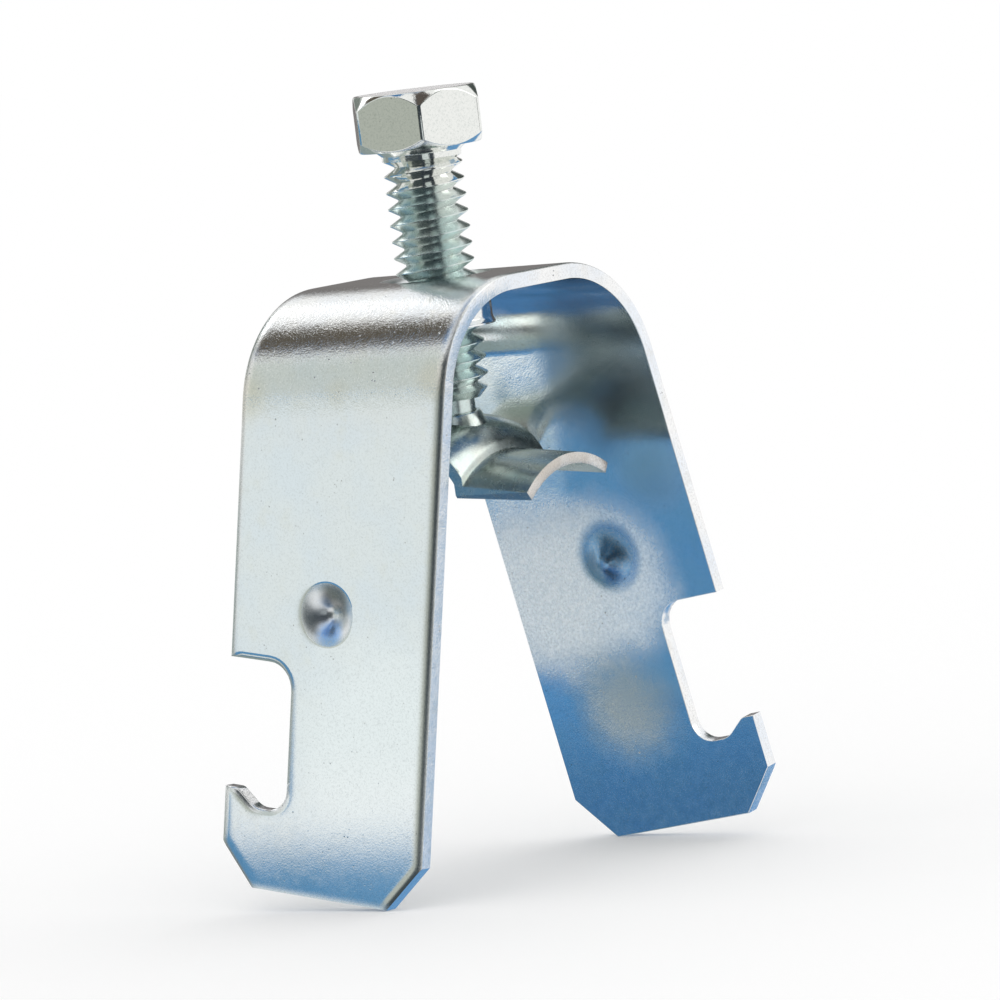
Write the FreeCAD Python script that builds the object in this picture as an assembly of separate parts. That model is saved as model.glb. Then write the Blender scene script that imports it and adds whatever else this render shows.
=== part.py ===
import FreeCAD, Part
import math
import os
from FreeCAD import Placement, Vector

# Strut pipe clamp: a folded strap with hooked legs, a screw through its web, and a saddle under the screw.
# Millimetres and degrees. Z runs up the screw, Y along the held tube, X from the left leg to the right leg.
# The origin is on the screw's axis, level with the shoulders of the legs, which bear on the strut.

# Strap: one strip, folded down at two bends whose axes lie along Y
STRIP_WIDTH = 19.05
SHEET = 1.25
WEB_HALF = 3.1            # from the screw's axis to where each bend starts
BEND_RADIUS = 8.3         # outside of the bend
SPLAY = 5.3               # lean of each leg from the vertical
SKEW = 8.15               # angle of the strip to the X axis on the web, which fans the legs out
LEG_LENGTH = 39.2         # along a leg's middle line, from the bend's end to the tip

# Legs: heights are above the tip, and widths are from the leg's middle line, hooks towards +u
SHOULDER_HEIGHT = 17.8
SHOULDER_CORNER = 2.1
NOTCH_EDGE = 3.6
VALLEY_HEIGHT = 6.25
VALLEY_CORNER = 1.7
VALLEY_END = 6.6                   # where the notch's floor turns up to the hook
VALLEY_BEND = 1.6
HOOK_HEIGHT = 7.65
HOOK_TOP_START = 8.4
HOOK_ROUNDING = 0.7
TIP_ROUNDING = 0.5
TIP_CHAMFER_HOOK = (3.1, 3.4)      # width and height of the chamfer on the hook's side
TIP_CHAMFER_PLAIN = (3.05, 3.6)
DIMPLE_PLACE = (0.45, 22.05)       # from the middle line, above the tip
DIMPLE_RIM_RADIUS = 2.5
DIMPLE_DEPTH = 1.15
DIMPLE_FLOOR_RADIUS = 0.9          # round floor of the conical hollow
DIMPLE_FLOOR_SAG = 0.25
BUMP_FOOT_RADIUS = 2.7             # where the bump on the inner face fades out
BUMP_TIP_RADIUS = 1.05
BUMP_BALL_TURN = 62                # how far down its side the ball-like tip goes
BUMP_SAG = 0.16                    # how far the flank's bend lies inside a straight flank
BUMP_HEIGHT = 1.15

# Thread of the screw and of the collar, both kept as plain cylinders here
THREAD_MAJOR = 6.2
THREAD_CLEARANCE = 0.09            # radial gap between the screw and the collar

# Collar drawn out of the web and tapped
COLLAR_RADIUS = 4.0
COLLAR_DROP = 4.05                 # from the web's top to the collar's rim
COLLAR_FOOT = 0.9                  # flare between the collar and the web's underside
COLLAR_RIM_FLARE = 0.2
ENTRY_RADIUS = 1.25                # rounding of the entry on top
ENTRY_FLATS = 3                    # flats that stand for that rounding

# Screw
HEAD_FLATS = 9.525
HEAD_HEIGHT = 4.45
HEAD_GAP = 10.05                   # from the web's top to the head's underside, as shown
HEAD_TURN = 38.3                   # direction of one corner
HEAD_TOP_DROP = 1.15               # how far the corners are cut down by the top chamfer
HEAD_BASE_DROP = 0.8
HEAD_FACE_INSET = 0.08             # how far inside the flats the chamfers' circles lie
HEAD_CONE = 0.35                   # cone between the head and the shank
THREAD_END = 9.7                   # from the web's top down to the end of the thread
THREAD_LEAD = 0.9                  # length of the tapered lead
LEAD_ANGLE = 42
NECK_RADIUS = 1.8
STAKE_RADIUS = 2.5
STAKE_THICKNESS = 0.6
STAKE_PLAY = 0.06                  # gap between the saddle and the staked end

# Saddle
TUBE_DIAMETER = 17.93
SADDLE_SHEET = 0.86
SADDLE_EASE = 0.05                 # how much wider than the tube its curve is
SADDLE_HALF_WIDTH = 5.73
TONGUE_REACH = 9.83                # from the screw's axis to a tongue's end
TONGUE_DROOP = 6.0                 # slope of the tongues, down to their ends
DOME_REACH = 3.95                  # from the screw's axis to the dome's lip
DOME_TOP = 11.02                   # from the web's top down to the dome
DOME_RISE = 2.33                   # of the dome over its own lip
LIP_STEP = 0.55                    # from the lip down to the tongue
HOLLOW_SHARE = 0.87                # reach of the dome's hollow, as a share of its radius
HOLE_CLEARANCE = 0.09
HOLE_RIM = (0.35, 0.3)             # width at its top and height of the turned-up rim of the hole
SADDLE_TIP = -3.1                  # the loose saddle lies tipped by this much about the tube's axis

# Worked-out values
DOME_RADIUS = (DOME_REACH ** 2 + DOME_RISE ** 2) / (2 * DOME_RISE)
INNER_RADIUS = BEND_RADIUS - SHEET
MIDDLE_RADIUS = BEND_RADIUS - SHEET / 2
BEND_TURN = 90 - SPLAY
BEND_RUN = MIDDLE_RADIUS * math.radians(BEND_TURN)
DRIFT = math.tan(math.radians(SKEW))            # sideways run of the strip for each mm along X
SPARE = 6.0                                     # extra length that the cutters take off
REACH = 60.0                                    # larger than anything a cutter has to clear
HALF_WIDTH = STRIP_WIDTH / 2
ALONG_TUBE = Vector(0, 1, 0)
UP = Vector(0, 0, 1)
ORIGIN = Vector(0, 0, 0)


def sagitta(radius, reach):
    """How far an arc falls at a reach from its top."""
    return radius - math.sqrt(radius ** 2 - reach ** 2)


def arc_radius(reach, fall):
    """Radius of the arc that falls this far at this reach from its top."""
    return (reach ** 2 + fall ** 2) / (2 * fall)


def half_turn(shape):
    """The same shape, turned by 180 degrees about the screw's axis."""
    turned = shape.copy()
    turned.rotate(ORIGIN, UP, 180)
    return turned


def leg_directions():
    """Down the left leg's middle line, across it towards its hook, and out of its outer face."""
    lean, skew = math.radians(SPLAY), math.radians(SKEW)
    fall = Vector(-math.sin(lean), 0, -math.cos(lean))
    outward = Vector(-math.cos(lean), 0, math.sin(lean))
    down = fall * math.cos(skew) + ALONG_TUBE * math.sin(skew)
    across = ALONG_TUBE * math.cos(skew) - fall * math.sin(skew)
    return down, across, outward


def leg_top(depth):
    """Where the left leg's middle line leaves the bend, at a depth below the outer face."""
    outward = leg_directions()[2]
    bend_axis = Vector(-WEB_HALF, DRIFT * (WEB_HALF + BEND_RUN), -BEND_RADIUS)
    return bend_axis + outward * (BEND_RADIUS - depth)


def leg_placement():
    """Local x across the left leg, y up it from the tip, z from its outer face into the sheet."""
    down, across, outward = leg_directions()
    tip = leg_top(0) + down * LEG_LENGTH
    return Placement(FreeCAD.Matrix(
        across.x, -down.x, -outward.x, tip.x,
        across.y, -down.y, -outward.y, tip.y,
        across.z, -down.z, -outward.z, tip.z,
        0, 0, 0, 1))


def on_both_legs(shape):
    """A shape in a leg's own x, y, z, put on the left leg and, turned round, on the right leg."""
    left = shape.copy()
    left.Placement = leg_placement().multiply(shape.Placement)
    return [left, half_turn(left)]


def outline(points, closed=True):
    """A wire through points. A tuple (middle, end) is an arc that starts at the point before it."""
    edges = []
    here = None
    first = None
    for item in points:
        if isinstance(item, tuple):
            middle, end = item
            edges.append(Part.Arc(here, middle, end).toShape())
            here = end
        else:
            if here is not None and here.distanceToPoint(item) > 1e-7:
                edges.append(Part.makeLine(here, item))
            here = item
        first = first or here
    if closed and here.distanceToPoint(first) > 1e-7:
        edges.append(Part.makeLine(here, first))
    return Part.Wire(edges)


def revolved(points):
    """A solid of revolution about Z, from an outline in the XZ plane."""
    return Part.Face(outline(points)).revolve(ORIGIN, UP, 360)


def round_corner(before, corner, after, radius):
    """Start of a fillet and its (middle, end), for a corner between two straight runs."""
    back, ahead = (before - corner).normalize(), (after - corner).normalize()
    half = back.getAngle(ahead) / 2
    reach = radius / math.tan(half)
    centre = corner + (back + ahead).normalize() * (radius / math.sin(half))
    middle = centre + (corner - centre).normalize() * radius
    return [corner + back * reach, (middle, corner + ahead * reach)]


# Strap

def strap_spine():
    """The strip's middle line: leg, bend, web, bend, leg."""
    pitch = 2 * math.pi * MIDDLE_RADIUS * DRIFT
    helix = Part.makeLongHelix(pitch, BEND_RUN * DRIFT, MIDDLE_RADIUS, 0, True)
    helix.Placement = Placement(FreeCAD.Matrix(
        0, -1, 0, WEB_HALF,
        0, 0, -1, -DRIFT * WEB_HALF,
        1, 0, 0, -BEND_RADIUS,
        0, 0, 0, 1))
    web_end = Vector(-WEB_HALF, DRIFT * WEB_HALF, -SHEET / 2)
    web = Part.makeLine(web_end, Vector(-web_end.x, -web_end.y, web_end.z))
    top = leg_top(SHEET / 2)
    leg = Part.makeLine(top, top + leg_directions()[0] * (LEG_LENGTH + SPARE))
    edges = [leg, half_turn(leg), web, helix, half_turn(helix)]
    pieces = [edge for shape in edges for edge in shape.Edges]
    return Part.Wire(Part.__sortEdges__(pieces))


def strip_sweep():
    """A bar along the strip's middle line: the strip's own sides, and skins that lie outside the sheet."""
    down, across, outward = leg_directions()
    end = leg_top(SHEET / 2) + down * (LEG_LENGTH + SPARE)
    side = ALONG_TUBE * (HALF_WIDTH / math.cos(math.radians(SKEW)))
    skin = outward * SHEET
    corners = [end + side + skin, end - side + skin, end - side - skin, end + side - skin]
    section = Part.makePolygon(corners + corners[:1])
    sweep = Part.BRepOffsetAPI.MakePipeShell(strap_spine())
    sweep.setBiNormalMode(ALONG_TUBE)
    sweep.add(section)
    sweep.build()
    sweep.makeSolid()
    return Part.Solid(sweep.shape())


def folded_sheet():
    """A wide sheet folded to the strap's profile, before its sides are cut."""
    lean = math.radians(SPLAY)
    down = Vector(-math.sin(lean), 0, -math.cos(lean))
    run = LEG_LENGTH + 2 * SPARE
    centre = Vector(-WEB_HALF, 0, -BEND_RADIUS)

    def on_bend(radius, turn):
        angle = math.radians(turn)
        return centre + Vector(-radius * math.sin(angle), 0, radius * math.cos(angle))

    def skin(radius):
        """Foot of the leg, top of the leg, middle of the bend and its end on the web."""
        top = on_bend(radius, BEND_TURN)
        return top + down * run, top, on_bend(radius, BEND_TURN / 2), on_bend(radius, 0)

    def other_side(point):
        return Vector(-point.x, 0, point.z)

    foot, top, middle, web = skin(BEND_RADIUS)
    inner_foot, inner_top, inner_middle, inner_web = skin(INNER_RADIUS)
    profile = outline([
        foot, top, (middle, web), other_side(web), (other_side(middle), other_side(top)), other_side(foot),
        other_side(inner_foot), other_side(inner_top), (other_side(inner_middle), other_side(inner_web)),
        inner_web, (inner_middle, inner_top), inner_foot])
    profile.translate(Vector(0, -REACH / 2, 0))
    return Part.Face(profile).extrude(Vector(0, REACH, 0))


def strip_blank():
    """The plain folded strip, its sides askew to the bends."""
    return folded_sheet().common(strip_sweep())


def leg_waste():
    """What the shears take off a leg: the tip with its chamfers, and the notch behind the hook."""
    beyond = 2.0
    plain_width, plain_height = TIP_CHAMFER_PLAIN
    hook_width, hook_height = TIP_CHAMFER_HOOK
    plain_side = Vector(-HALF_WIDTH - beyond, plain_height * (1 + beyond / plain_width), 0)
    hook_side = Vector(HALF_WIDTH + beyond, hook_height * (1 + beyond / hook_width), 0)
    plain_corner = Vector(-HALF_WIDTH + plain_width, 0, 0)
    hook_corner = Vector(HALF_WIDTH - hook_width, 0, 0)
    tip = outline([
        plain_side,
        *round_corner(plain_side, plain_corner, hook_corner, TIP_ROUNDING),
        *round_corner(plain_corner, hook_corner, hook_side, TIP_ROUNDING),
        hook_side,
        Vector(hook_side.x, -2 * SPARE, 0),
        Vector(plain_side.x, -2 * SPARE, 0)])
    mouth_top = Vector(HALF_WIDTH + beyond, SHOULDER_HEIGHT, 0)
    shoulder = Vector(NOTCH_EDGE, SHOULDER_HEIGHT, 0)
    valley = Vector(NOTCH_EDGE, VALLEY_HEIGHT, 0)
    valley_end = Vector(VALLEY_END, VALLEY_HEIGHT, 0)
    hook_top = Vector(HOOK_TOP_START, HOOK_HEIGHT, 0)
    mouth_foot = Vector(HALF_WIDTH + beyond, HOOK_HEIGHT, 0)
    notch = outline([
        mouth_top,
        *round_corner(mouth_top, shoulder, valley, SHOULDER_CORNER),
        *round_corner(shoulder, valley, valley_end, VALLEY_CORNER),
        *round_corner(valley, valley_end, hook_top, VALLEY_BEND),
        *round_corner(valley_end, hook_top, mouth_foot, HOOK_ROUNDING),
        mouth_foot])
    waste = []
    for wire in (tip, notch):
        block = Part.Face(wire).extrude(Vector(0, 0, 3 * SHEET))
        block.translate(Vector(0, 0, -SHEET))
        waste += on_both_legs(block)
    return waste


def dimple():
    """A leg's dimple, with z into the sheet: the hollow punched outside and the bump raised inside."""
    rim = DIMPLE_RIM_RADIUS
    floor = DIMPLE_FLOOR_RADIUS
    halfway = DIMPLE_DEPTH - sagitta(arc_radius(floor, DIMPLE_FLOOR_SAG), floor / 2)
    hollow = revolved([
        Vector(0, 0, -SHEET), Vector(rim, 0, -SHEET), Vector(rim, 0, 0),
        Vector(floor, 0, DIMPLE_DEPTH - DIMPLE_FLOOR_SAG),
        (Vector(floor / 2, 0, halfway), Vector(0, 0, DIMPLE_DEPTH))])
    top = SHEET + BUMP_HEIGHT
    ball_centre = Vector(0, 0, top - BUMP_TIP_RADIUS)

    def on_ball(degrees):
        angle = math.radians(degrees)
        return ball_centre + Vector(math.sin(angle), 0, math.cos(angle)) * BUMP_TIP_RADIUS

    ball_side = on_ball(BUMP_BALL_TURN)
    foot = Vector(BUMP_FOOT_RADIUS, 0, SHEET)
    inward = (foot - ball_side).cross(ALONG_TUBE).normalize()
    flank_bend = (foot + ball_side) * 0.5 + inward * BUMP_SAG
    bump = revolved([
        Vector(0, 0, SHEET / 2), Vector(BUMP_FOOT_RADIUS, 0, SHEET / 2), foot, flank_bend, ball_side,
        (on_ball(BUMP_BALL_TURN / 2), Vector(0, 0, top))])
    place = Vector(DIMPLE_PLACE[0], DIMPLE_PLACE[1], 0)
    for shape in (hollow, bump):
        shape.translate(place)
    return on_both_legs(hollow), on_both_legs(bump)


def collar_plug():
    """The collar before its hole: a boss with a flared foot and a slightly flared rim."""
    foot = COLLAR_RADIUS + COLLAR_FOOT
    return revolved([
        Vector(0, 0, -SHEET / 2), Vector(foot, 0, -SHEET / 2), Vector(foot, 0, -SHEET),
        Vector(COLLAR_RADIUS, 0, -SHEET - COLLAR_FOOT),
        Vector(COLLAR_RADIUS, 0, -COLLAR_DROP + 2 * COLLAR_RIM_FLARE),
        Vector(COLLAR_RADIUS + COLLAR_RIM_FLARE, 0, -COLLAR_DROP), Vector(0, 0, -COLLAR_DROP)])


def collar_hole():
    """The space inside the collar: a rounded entry on top, then the bore."""
    bore = THREAD_MAJOR / 2 + THREAD_CLEARANCE
    turns = [math.radians(90 * k / ENTRY_FLATS) for k in range(ENTRY_FLATS + 1)]
    entry = [Vector(bore + ENTRY_RADIUS * (1 - math.sin(turn)), 0, -ENTRY_RADIUS * (1 - math.cos(turn)))
             for turn in turns]
    return revolved([
        Vector(0, 0, ENTRY_RADIUS), Vector(bore + ENTRY_RADIUS, 0, ENTRY_RADIUS), *entry,
        Vector(bore, 0, -COLLAR_DROP - SHEET), Vector(0, 0, -COLLAR_DROP - SHEET)])


def make_strap():
    hollows, bumps = dimple()
    strap = strip_blank().fuse(bumps + [collar_plug()])
    return strap.cut(leg_waste() + hollows + [collar_hole()])


# Screw

def hex_head():
    """A hexagon with both ends chamfered, so that its corners are cut down more than its flats."""
    corner = HEAD_FLATS / 2 / math.cos(math.radians(30))
    turns = [math.radians(HEAD_TURN + 60 * k) for k in range(7)]
    corners = [Vector(corner * math.cos(turn), corner * math.sin(turn), 0) for turn in turns]
    head = Part.Face(Part.makePolygon(corners)).extrude(Vector(0, 0, HEAD_HEIGHT))
    inside = HEAD_FLATS / 2 - HEAD_FACE_INSET
    grow = corner - inside
    envelope = revolved([
        Vector(0, 0, 0), Vector(inside, 0, 0), Vector(corner + grow, 0, 2 * HEAD_BASE_DROP),
        Vector(corner + grow, 0, HEAD_HEIGHT - 2 * HEAD_TOP_DROP), Vector(inside, 0, HEAD_HEIGHT),
        Vector(0, 0, HEAD_HEIGHT)])
    head = head.common(envelope)
    head.translate(Vector(0, 0, HEAD_GAP))
    return head


def stake_levels():
    """Depths of the staked end's upper face, at the neck and at its rim, just clear of the tipped saddle."""
    under_dome = DOME_TOP + SADDLE_SHEET
    curve = DOME_RADIUS - SADDLE_SHEET
    at_neck = under_dome + sagitta(curve, NECK_RADIUS + HOLE_CLEARANCE) + STAKE_PLAY
    tipping = STAKE_RADIUS * math.sin(math.radians(abs(SADDLE_TIP)))
    at_rim = under_dome + sagitta(curve, STAKE_RADIUS) + tipping + STAKE_PLAY
    return at_neck, at_rim


def make_bolt():
    major = THREAD_MAJOR / 2
    at_neck, at_rim = stake_levels()
    lead_radius = major - THREAD_LEAD * math.tan(math.radians(LEAD_ANGLE))
    overlap = HEAD_HEIGHT / 4
    blank = revolved([
        Vector(0, 0, HEAD_GAP + overlap), Vector(major + HEAD_CONE, 0, HEAD_GAP + overlap),
        Vector(major + HEAD_CONE, 0, HEAD_GAP), Vector(major, 0, HEAD_GAP - HEAD_CONE),
        Vector(major, 0, THREAD_LEAD - THREAD_END), Vector(lead_radius, 0, -THREAD_END),
        Vector(NECK_RADIUS, 0, -THREAD_END), Vector(NECK_RADIUS, 0, -at_neck),
        Vector(STAKE_RADIUS, 0, -at_rim),
        Vector(STAKE_RADIUS, 0, -at_rim - STAKE_THICKNESS / 2),
        Vector(STAKE_RADIUS - STAKE_THICKNESS / 2, 0, -at_rim - STAKE_THICKNESS),
        Vector(0, 0, -at_rim - STAKE_THICKNESS)])
    return blank.fuse(hex_head())


# Saddle

def make_saddle():
    """The sheet's lengthwise section, swung about the held tube's axis and trimmed to its width."""
    seat = TUBE_DIAMETER / 2 + SADDLE_EASE
    lip = -DOME_TOP - DOME_RISE
    tongue = lip - LIP_STEP
    fall = (TONGUE_REACH - DOME_REACH) * math.tan(math.radians(TONGUE_DROOP))
    axis = Vector(0, 0, tongue - fall - SADDLE_SHEET - seat)
    hollow_radius = DOME_RADIUS - SADDLE_SHEET
    hollow_top = -DOME_TOP - SADDLE_SHEET
    hollow_reach = HOLLOW_SHARE * hollow_radius
    hollow_foot = hollow_top - sagitta(hollow_radius, hollow_reach)
    under = tongue - SADDLE_SHEET
    near = [Vector(0, -hollow_reach, hollow_foot), Vector(0, -hollow_reach, under),
            Vector(0, -TONGUE_REACH, under - fall), Vector(0, -TONGUE_REACH, tongue - fall),
            Vector(0, -DOME_REACH, tongue), Vector(0, -DOME_REACH, lip)]
    far = [Vector(0, -point.y, point.z) for point in reversed(near)]
    section = outline([*near, (Vector(0, 0, -DOME_TOP), far[0]), *far[1:],
                       (Vector(0, 0, hollow_top), near[0])])
    half_turn_angle = math.degrees(math.asin(SADDLE_HALF_WIDTH / seat)) + 2
    sheet = Part.Face(section)
    sheet.rotate(axis, ALONG_TUBE, -half_turn_angle)
    sheet = sheet.revolve(axis, ALONG_TUBE, 2 * half_turn_angle)
    corner = Vector(-SADDLE_HALF_WIDTH, -REACH / 2, -REACH)
    saddle = sheet.common(Part.makeBox(2 * SADDLE_HALF_WIDTH, REACH, REACH, corner))
    hole = NECK_RADIUS + HOLE_CLEARANCE
    rim_width, rim_height = HOLE_RIM
    rim_foot = -DOME_TOP - 0.9 * SADDLE_SHEET
    rim = revolved([
        Vector(hole - rim_width, 0, rim_foot), Vector(hole + 2 * rim_width, 0, rim_foot),
        Vector(hole + rim_width, 0, -DOME_TOP + rim_height),
        Vector(hole - rim_width, 0, -DOME_TOP + rim_height)])
    bore = Part.makeCylinder(hole, REACH, Vector(0, 0, -DOME_TOP - REACH / 2))
    saddle = saddle.fuse(rim).cut(bore)
    saddle.rotate(Vector(0, 0, -DOME_TOP - SADDLE_SHEET / 2), ALONG_TUBE, SADDLE_TIP)
    return saddle


def shoulder_level():
    """Height of the middle of a leg's shoulder, under the web's top."""
    middle = Vector((NOTCH_EDGE + HALF_WIDTH) / 2, SHOULDER_HEIGHT, SHEET / 2)
    return leg_placement().multVec(middle).z


def main():
    os.makedirs("parts", exist_ok=True)
    lift = -shoulder_level()
    for name, make in (("strap", make_strap), ("bolt", make_bolt), ("saddle", make_saddle)):
        shape = make()
        shape.translate(Vector(0, 0, lift))
        solid = shape.Solids[0]
        solid.exportStep(f"parts/{name}.step")
        volume = round(solid.Volume, 2)
        print(name, "volume", volume, "faces", len(solid.Faces), "valid", solid.isValid())


main()
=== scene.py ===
# %% [markdown]
# # A strut pipe clamp
# The clamp is a strip of zinc-plated sheet steel, folded like a staple and hooked at its feet.
# A hexagon screw goes down through a drawn collar in the fold and presses a curved saddle onto a pipe.
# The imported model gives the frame: every piece here is made where that model says, in metres.

# %% Open the frame
import math

import bpy
from mathutils import Matrix, Vector


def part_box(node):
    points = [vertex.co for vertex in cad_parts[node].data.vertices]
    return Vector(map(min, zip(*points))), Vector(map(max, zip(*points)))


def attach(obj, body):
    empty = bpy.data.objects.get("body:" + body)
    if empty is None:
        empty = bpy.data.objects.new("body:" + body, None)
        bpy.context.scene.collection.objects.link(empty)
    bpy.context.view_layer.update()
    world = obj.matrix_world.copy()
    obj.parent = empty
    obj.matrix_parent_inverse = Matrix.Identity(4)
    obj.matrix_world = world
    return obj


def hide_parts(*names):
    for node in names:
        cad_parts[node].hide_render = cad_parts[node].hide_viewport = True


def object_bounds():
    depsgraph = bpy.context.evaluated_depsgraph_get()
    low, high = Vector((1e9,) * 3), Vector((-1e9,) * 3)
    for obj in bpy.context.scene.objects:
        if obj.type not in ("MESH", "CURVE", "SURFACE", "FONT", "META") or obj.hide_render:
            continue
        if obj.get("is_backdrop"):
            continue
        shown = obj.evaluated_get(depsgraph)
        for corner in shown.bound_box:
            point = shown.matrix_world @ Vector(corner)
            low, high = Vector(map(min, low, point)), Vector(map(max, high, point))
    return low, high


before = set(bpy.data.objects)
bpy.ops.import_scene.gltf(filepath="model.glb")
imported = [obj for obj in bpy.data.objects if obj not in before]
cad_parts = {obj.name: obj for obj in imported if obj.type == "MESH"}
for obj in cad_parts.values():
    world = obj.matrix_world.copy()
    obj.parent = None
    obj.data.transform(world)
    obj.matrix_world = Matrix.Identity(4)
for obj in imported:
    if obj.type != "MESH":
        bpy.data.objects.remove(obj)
cad_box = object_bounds()
MM = 0.001
web_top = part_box("strap")[1].z
floor_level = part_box("strap")[0].z
print("web top", round(web_top / MM, 3), "mm, feet", round(floor_level / MM, 3), "mm")

# %% [markdown]
# ## Camera
# The photograph was taken with a long lens from slightly above, with the camera rolled a little.
# The three directions of the camera's own axes are worked out from those angles.
# Its place follows from the distance and from where the object's middle falls in the picture.

# %% Camera
VIEW_AZIMUTH = math.radians(54.918)
VIEW_DROP = math.radians(5.844)
VIEW_ROLL = math.radians(-6.965)
VIEW_DISTANCE = 464.04 * MM
VIEW_MIDDLE = Vector((0, 0, 6.44)) * MM
VIEW_OFFSET = (-2.377 * MM, -3.637 * MM)
FOCUS_SHARE = 5.9481               # focal length as a share of the picture's width
NEAREST = 10 * MM

forward = Vector((math.sin(VIEW_AZIMUTH) * math.cos(VIEW_DROP),
                  math.cos(VIEW_AZIMUTH) * math.cos(VIEW_DROP), -math.sin(VIEW_DROP)))
level_right = Vector((math.cos(VIEW_AZIMUTH), -math.sin(VIEW_AZIMUTH), 0))
level_up = level_right.cross(forward)
right = math.cos(VIEW_ROLL) * level_right + math.sin(VIEW_ROLL) * level_up
up = math.cos(VIEW_ROLL) * level_up - math.sin(VIEW_ROLL) * level_right
place = VIEW_MIDDLE - VIEW_OFFSET[0] * right - VIEW_OFFSET[1] * up - VIEW_DISTANCE * forward

bpy.ops.object.camera_add(location=place)
camera = bpy.context.object
camera.name = "photo_camera"
camera.matrix_world = Matrix.Translation(place) @ Matrix((right, up, -forward)).transposed().to_4x4()
camera.data.lens = FOCUS_SHARE * camera.data.sensor_width
camera.data.clip_start = NEAREST
bpy.context.scene.camera = camera
print("camera at", [round(value / MM, 1) for value in place], "mm, lens", round(camera.data.lens, 1))

# %% [markdown]
# ## Helpers for modelling
# An operator works on what is selected, so each step first selects one piece and nothing else.
# In edit mode the parts of a piece are selected by their place.

# %% Helpers for modelling
CUT_TOLERANCE = 0.0001 * MM        # a vertex this close to a cut counts as on it
WELD = 0.001 * MM                  # vertices this close together become one


def only(piece):
    """Selects one piece and makes it the active one."""
    bpy.ops.object.select_all(action="DESELECT")
    piece.select_set(True)
    bpy.context.view_layer.objects.active = piece


def edit(piece):
    """Goes into edit mode on one piece."""
    only(piece)
    bpy.ops.object.mode_set(mode="EDIT")


def leave():
    """Goes back to object mode."""
    bpy.ops.object.mode_set(mode="OBJECT")


def pick(piece, kind, test):
    """In edit mode, selects the vertices or edges that pass a test of their place."""
    bpy.ops.mesh.select_mode(type=kind)
    bpy.ops.mesh.select_all(action="DESELECT")
    leave()
    mesh = piece.data
    if kind == "VERT":
        for vertex in mesh.vertices:
            vertex.select = test(vertex.co)
    if kind == "EDGE":
        for edge in mesh.edges:
            edge.select = test(*(mesh.vertices[index].co for index in edge.vertices))
    bpy.ops.object.mode_set(mode="EDIT")


def cut(point, normal, clear=False, fill=False):
    """In edit mode, cuts the whole piece by a plane, and can drop what lies beyond it."""
    bpy.ops.mesh.select_all(action="SELECT")
    bpy.ops.mesh.bisect(plane_co=point, plane_no=Vector(normal).normalized(), clear_outer=clear,
                        use_fill=fill, threshold=CUT_TOLERANCE)


def weld(reach=WELD):
    """In edit mode, makes vertices that lie close together into one."""
    bpy.ops.mesh.select_all(action="SELECT")
    bpy.ops.mesh.remove_doubles(threshold=reach)


def face_out():
    """In edit mode, turns the normals of all faces outwards."""
    bpy.ops.mesh.select_all(action="SELECT")
    bpy.ops.mesh.normals_make_consistent(inside=False)


def settle(piece):
    """Puts the piece's place and turn into its mesh, so that its object sits at the origin."""
    only(piece)
    bpy.ops.object.transform_apply(location=True, rotation=True, scale=True)


def combine(piece, tool, how, finish=0):
    """Joins a tool to a piece, cuts it out of the piece, or keeps what they share.

    The faces that the tool leaves behind get the piece's material of that number.
    """
    tool.data.materials.clear()
    for material in piece.data.materials:
        tool.data.materials.append(material)
    for face in tool.data.polygons:
        face.material_index = finish
    only(piece)
    step = piece.modifiers.new("Combine", "BOOLEAN")
    step.operation = how
    step.solver = "MANIFOLD"
    step.object = tool
    bpy.ops.object.modifier_apply(modifier=step.name)
    bpy.data.objects.remove(tool)


def drawn(name, points):
    """A chain of straight edges through points, drawn by extruding one vertex."""
    bpy.ops.object.select_all(action="DESELECT")
    bpy.ops.mesh.primitive_plane_add(size=MM, location=points[0])
    piece = bpy.context.object
    piece.name = name
    bpy.ops.object.mode_set(mode="EDIT")
    bpy.ops.mesh.select_mode(type="VERT")
    bpy.ops.mesh.merge(type="CENTER")
    for here, there in zip(points, points[1:]):
        bpy.ops.mesh.extrude_region_move(TRANSFORM_OT_translate={"value": there - here})
    leave()
    return piece


def turned(name, outline, level=0.0, steps=96, centre=(0.0, 0.0)):
    """A solid turned on a lathe. The outline's points are (radius, height) in millimetres."""
    middle = Vector((*centre, 0))
    points = [middle + Vector((radius * MM, 0, height * MM + level)) for radius, height in outline]
    piece = drawn(name, points)
    edit(piece)
    bpy.ops.mesh.select_all(action="SELECT")
    bpy.ops.mesh.spin(steps=steps, angle=2 * math.pi, center=middle, axis=(0, 0, 1))
    weld()
    face_out()
    leave()
    settle(piece)
    return piece


def arc(centre, radius, start, end, parts):
    """Points of an arc in an outline, from one angle to another, in degrees."""
    angles = [math.radians(start + (end - start) * k / parts) for k in range(parts + 1)]
    return [(centre[0] + radius * math.cos(a), centre[1] + radius * math.sin(a)) for a in angles]


def soften(piece, width, angle):
    """Breaks the sharp edges of a piece with a narrow bevel."""
    only(piece)
    step = piece.modifiers.new("Soften", "BEVEL")
    step.limit_method = "ANGLE"
    step.angle_limit = math.radians(angle)
    step.width = width * MM
    step.segments = 3
    bpy.ops.object.modifier_apply(modifier=step.name)


def smooth(piece, angle):
    """Smooth shading, apart from edges sharper than the angle, that keeps large flats flat."""
    only(piece)
    bpy.ops.object.shade_smooth_by_angle(angle=math.radians(angle))
    step = piece.modifiers.new("Normals", "WEIGHTED_NORMAL")
    step.keep_sharp = True
    bpy.ops.object.modifier_apply(modifier=step.name)


def finished(piece, body, node):
    """Hangs a piece on its body, in place of the plain solid of that node."""
    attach(piece, body)
    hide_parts(node)
    size = [round(side / MM, 2) for side in piece.dimensions]
    triangles = sum(len(face.vertices) - 2 for face in piece.data.polygons)
    print(piece.name, "size in mm", size, "triangles", triangles)


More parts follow.
